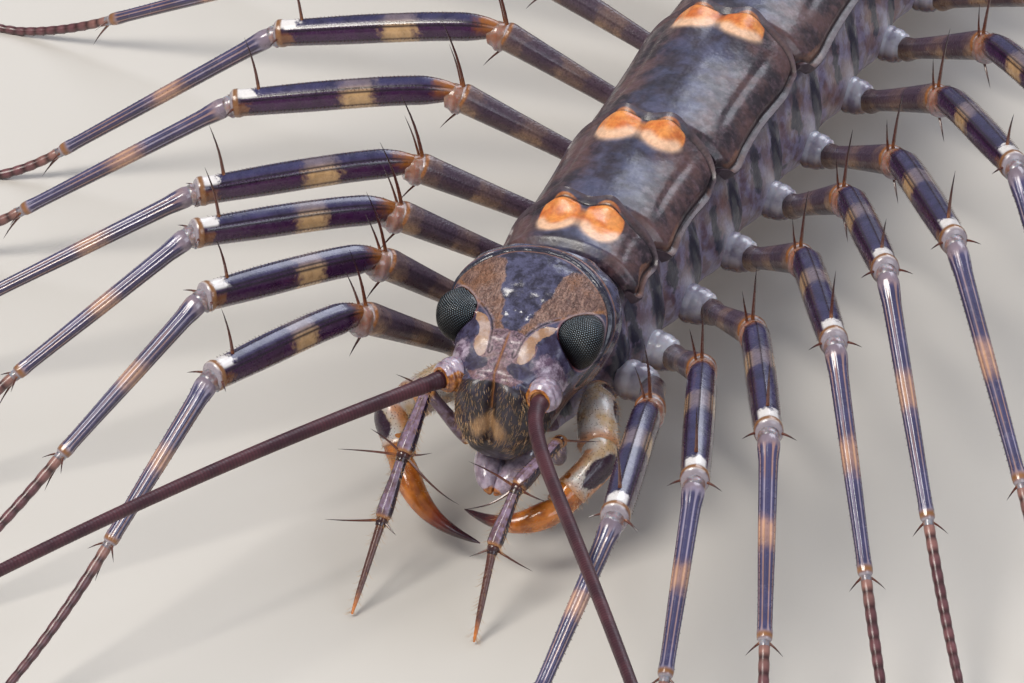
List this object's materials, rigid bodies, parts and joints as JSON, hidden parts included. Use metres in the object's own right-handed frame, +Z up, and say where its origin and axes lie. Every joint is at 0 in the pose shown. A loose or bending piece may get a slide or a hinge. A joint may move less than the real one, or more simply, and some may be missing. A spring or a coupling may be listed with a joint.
{
  "type": "house centipede model",
  "caption": "Still, life-size house centipede standing on the floor, with long banded legs, whip-like feelers, large eyes and arched back plates.",
  "frame": {"origin": "on the floor under the middle of the whole model's box", "axes": "+Y from the head towards the tail, +Z up, +X to the animal's left"},
  "size_m": [0.0938, 0.1646, 0.0103],
  "materials": {
    "shell": "dark brown-purple glossy back plates with orange saddles",
    "skin": "mottled lilac-grey flank skin",
    "head_shell": "slate-blue and tan glossy head shell",
    "eye": "black faceted eye",
    "feeler": "dark maroon, finely ringed",
    "claw": "amber, dark at the tips",
    "leg": "dark purple with tan bands"
  },
  "bodies": {
    "root": {"trunk_1": "skin", "trunk_2": "skin", "trunk_3": "skin", "trunk_4": "skin", "tergite_1": "shell", "tergite_2": "shell", "tergite_3": "shell", "tergite_4": "shell", "tergite_5": "shell", "tergite_6": "shell", "tergite_7": "shell", "tergite_8": "shell", "telson": "shell", "head": "head_shell", "mouthparts": "claw", "eye_left": "eye", "antenna_left": "feeler", "palp_left": "leg", "forcipule_left": "claw", "eye_right": "eye", "antenna_right": "feeler", "palp_right": "leg", "forcipule_right": "claw", "leg_left_01": "leg", "leg_right_01": "leg", "leg_left_02": "leg", "leg_right_02": "leg", "leg_left_03": "leg", "leg_right_03": "leg", "leg_left_04": "leg", "leg_right_04": "leg", "leg_left_05": "leg", "leg_right_05": "leg", "leg_left_06": "leg", "leg_right_06": "leg", "leg_left_07": "leg", "leg_right_07": "leg", "leg_left_08": "leg", "leg_right_08": "leg", "leg_left_09": "leg", "leg_right_09": "leg", "leg_left_10": "leg", "leg_right_10": "leg", "leg_left_11": "leg", "leg_right_11": "leg", "leg_left_12": "leg", "leg_right_12": "leg", "leg_left_13": "leg", "leg_right_13": "leg", "leg_left_14": "leg", "leg_right_14": "leg", "leg_left_15": "leg", "leg_right_15": "leg"}
  },
  "joints": []
}
